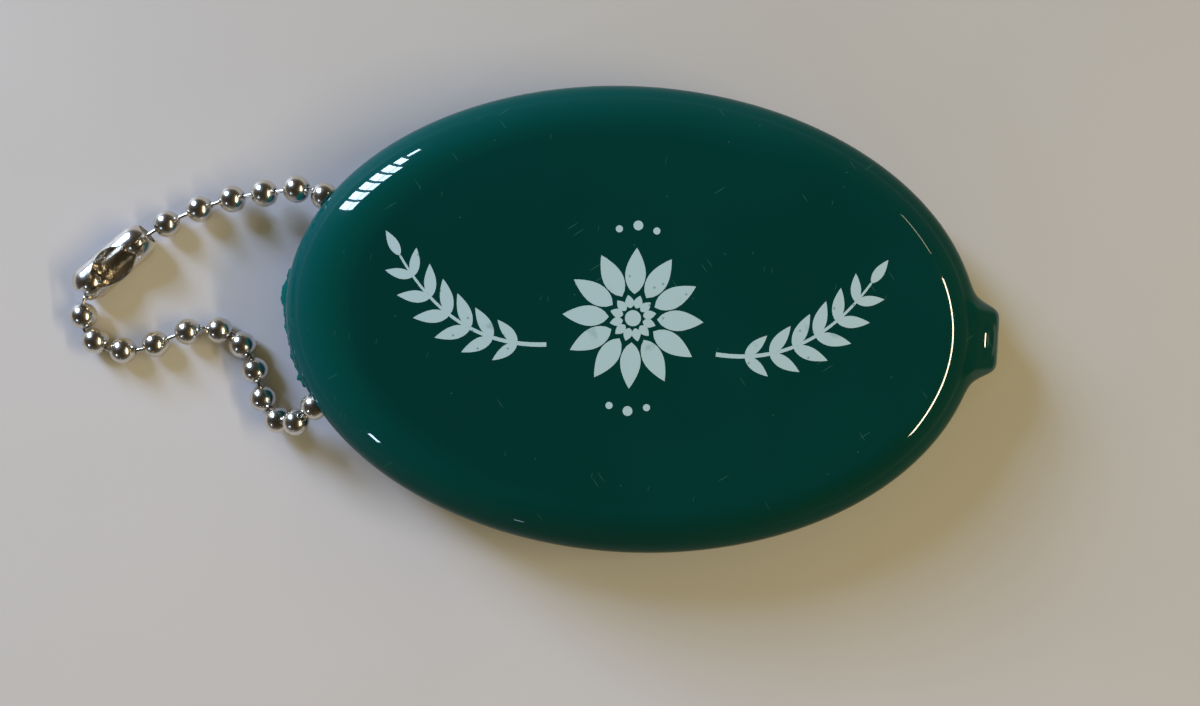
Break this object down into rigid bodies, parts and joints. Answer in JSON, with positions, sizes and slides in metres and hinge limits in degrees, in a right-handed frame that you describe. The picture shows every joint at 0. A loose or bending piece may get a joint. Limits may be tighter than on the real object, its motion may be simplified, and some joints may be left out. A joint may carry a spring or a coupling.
{
  "type": "squeeze coin purse",
  "caption": "Oval squeeze coin purse of glossy soft vinyl with a slit back, and a ball chain loop with a coupling through one end.",
  "frame": {"origin": "the middle of the purse's oval, on the plane its back rests on", "axes": "+Z out of the printed face, +X along the oval towards the moulded nub, chain at -X, +Y across the oval"},
  "size_m": [0.1096, 0.054, 0.013],
  "materials": {
    "vinyl": "wet-look gloss",
    "chain": "bright plated"
  },
  "bodies": {
    "purse": {"purse_shell": "vinyl", "chain_bead_07": "chain", "chain_bead_08": "chain", "chain_bead_09": "chain", "chain_bead_10": "chain", "chain_bead_11": "chain", "chain_bead_12": "chain", "chain_bead_13": "chain", "chain_bead_14": "chain", "chain_link_07": "chain", "chain_link_08": "chain", "chain_link_09": "chain", "chain_link_10": "chain", "chain_link_11": "chain", "chain_link_12": "chain", "chain_link_13": "chain"},
    "lip_upper": {"mouth_lip_upper": "vinyl"},
    "lip_lower": {"mouth_lip_lower": "vinyl"},
    "chain_start": {"chain_bead_06": "chain", "chain_link_06": "chain", "chain_link_14": "chain", "chain_bead_15": "chain"},
    "chain_05": {"chain_link_05": "chain", "chain_bead_05": "chain"},
    "chain_04": {"chain_link_04": "chain", "chain_bead_04": "chain"},
    "chain_03": {"chain_link_03": "chain", "chain_bead_03": "chain"},
    "chain_02": {"chain_link_02": "chain", "chain_bead_02": "chain"},
    "chain_01": {"chain_link_01": "chain", "chain_bead_01": "chain"},
    "chain_coupling": {"chain_coupling": "chain"},
    "chain_16": {"chain_link_15": "chain", "chain_bead_16": "chain"},
    "chain_17": {"chain_link_16": "chain", "chain_bead_17": "chain"},
    "chain_18": {"chain_link_17": "chain", "chain_bead_18": "chain"},
    "chain_19": {"chain_link_18": "chain", "chain_bead_19": "chain"},
    "chain_20": {"chain_link_19": "chain", "chain_bead_20": "chain"},
    "chain_21": {"chain_link_20": "chain", "chain_bead_21": "chain"},
    "chain_22": {"chain_link_21": "chain", "chain_bead_22": "chain"},
    "chain_23": {"chain_link_22": "chain", "chain_bead_23": "chain"},
    "chain_24": {"chain_link_23": "chain", "chain_bead_24": "chain"},
    "chain_25": {"chain_link_24": "chain", "chain_bead_25": "chain"},
    "chain_26": {"chain_link_25": "chain", "chain_bead_26": "chain"}
  },
  "joints": [
    {"name": "mouth_upper", "type": "hinge", "parent": "purse", "child": "lip_upper", "pos_m": [0, 0.015, 0], "axis": [1, 0, 0], "range_deg": [0, 45], "stiffness_Nm_per_rad": 0.1},
    {"name": "mouth_lower", "type": "hinge", "parent": "purse", "child": "lip_lower", "pos_m": [0, -0.015, 0], "axis": [-1, 0, 0], "range_deg": [0, 45], "stiffness_Nm_per_rad": 0.1},
    {"name": "chain_swing", "type": "hinge", "parent": "purse", "child": "chain_start", "pos_m": [-0.03779, -0.00011, 0.0057], "axis": [-0.0165, 0.9999, 0], "range_deg": [0, 45]},
    {"name": "chain_sway", "type": "hinge", "parent": "chain_start", "child": "chain_05", "pos_m": [-0.04156, 0.01281, 0.00473], "axis": [0, 0, 1], "range_deg": [-12, 12]},
    {"name": "flex_04", "type": "hinge", "parent": "chain_05", "child": "chain_04", "pos_m": [-0.0456, 0.01224, 0.00337], "axis": [0, 0, 1], "range_deg": [-1.27, 1.27]},
    {"name": "flex_03", "type": "hinge", "parent": "chain_04", "child": "chain_03", "pos_m": [-0.04968, 0.01129, 0.00224], "axis": [0, 0, 1], "range_deg": [-1.21, 1.21]},
    {"name": "flex_02", "type": "hinge", "parent": "chain_03", "child": "chain_02", "pos_m": [-0.05367, 0.00971, 0.00167], "axis": [0, 0, 1], "range_deg": [-0.92, 0.92]},
    {"name": "flex_01", "type": "hinge", "parent": "chain_02", "child": "chain_01", "pos_m": [-0.0574, 0.0075, 0.0018], "axis": [0, 0, 1], "range_deg": [-0.44, 0.44]},
    {"name": "coupling_turn", "type": "hinge", "parent": "chain_01", "child": "chain_coupling", "pos_m": [-0.05957, 0.0057, 0.00195], "axis": [0, 0, 1], "range_deg": [-11.52, 11.52]},
    {"name": "flex_16", "type": "hinge", "parent": "chain_start", "child": "chain_16", "pos_m": [-0.0396, -0.01501, 0.00344], "axis": [0, 0, 1], "range_deg": [-1.87, 1.87]},
    {"name": "flex_17", "type": "hinge", "parent": "chain_16", "child": "chain_17", "pos_m": [-0.04258, -0.01363, 0.00192], "axis": [0, 0, 1], "range_deg": [-2.33, 2.33]},
    {"name": "flex_18", "type": "hinge", "parent": "chain_17", "child": "chain_18", "pos_m": [-0.044, -0.01047, 0.00161], "axis": [0, 0, 1], "range_deg": [-0.34, 0.34]},
    {"name": "flex_19", "type": "hinge", "parent": "chain_18", "child": "chain_19", "pos_m": [-0.04507, -0.00716, 0.0016], "axis": [0, 0, 1], "range_deg": [-1.13, 1.13]},
    {"name": "flex_20", "type": "hinge", "parent": "chain_19", "child": "chain_20", "pos_m": [-0.0473, -0.00451, 0.0016], "axis": [0, 0, 1], "range_deg": [-4.02, 4.02]},
    {"name": "flex_21", "type": "hinge", "parent": "chain_20", "child": "chain_21", "pos_m": [-0.05068, -0.0038, 0.0016], "axis": [0, 0, 1], "range_deg": [-8.23, 8.23]},
    {"name": "flex_22", "type": "hinge", "parent": "chain_21", "child": "chain_22", "pos_m": [-0.05431, -0.005, 0.0016], "axis": [0, 0, 1], "range_deg": [-3.7, 3.7]},
    {"name": "flex_23", "type": "hinge", "parent": "chain_22", "child": "chain_23", "pos_m": [-0.05805, -0.00682, 0.0016], "axis": [0, 0, 1], "range_deg": [-8.18, 8.18]},
    {"name": "flex_24", "type": "hinge", "parent": "chain_23", "child": "chain_24", "pos_m": [-0.06205, -0.00721, 0.0016], "axis": [0, 0, 1], "range_deg": [-6.51, 6.51]},
    {"name": "flex_25", "type": "hinge", "parent": "chain_24", "child": "chain_25", "pos_m": [-0.06513, -0.00528, 0.0016], "axis": [0, 0, 1], "range_deg": [-2.62, 2.62]},
    {"name": "flex_26", "type": "hinge", "parent": "chain_25", "child": "chain_26", "pos_m": [-0.06555, -0.00176, 0.00179], "axis": [0, 0, 1], "range_deg": [-0.49, 0.49]}
  ],
  "couplings": [
    {"joint": "mouth_lower", "follows": "mouth_upper", "ratio": 1},
    {"joint": "flex_04", "follows": "chain_sway", "ratio": -0.10519},
    {"joint": "flex_03", "follows": "chain_sway", "ratio": -0.10018},
    {"joint": "flex_02", "follows": "chain_sway", "ratio": -0.076098},
    {"joint": "flex_01", "follows": "chain_sway", "ratio": -0.035792},
    {"joint": "coupling_turn", "follows": "chain_sway", "ratio": -0.95913},
    {"joint": "flex_16", "follows": "chain_sway", "ratio": 0.15502},
    {"joint": "flex_17", "follows": "chain_sway", "ratio": -0.19305},
    {"joint": "flex_18", "follows": "chain_sway", "ratio": -0.027864},
    {"joint": "flex_19", "follows": "chain_sway", "ratio": 0.093698},
    {"joint": "flex_20", "follows": "chain_sway", "ratio": 0.33383},
    {"joint": "flex_21", "follows": "chain_sway", "ratio": 0.68533},
    {"joint": "flex_22", "follows": "chain_sway", "ratio": 0.30724},
    {"joint": "flex_23", "follows": "chain_sway", "ratio": -0.68102},
    {"joint": "flex_24", "follows": "chain_sway", "ratio": -0.54182},
    {"joint": "flex_25", "follows": "chain_sway", "ratio": -0.21774},
    {"joint": "flex_26", "follows": "chain_sway", "ratio": -0.039891}
  ]
}
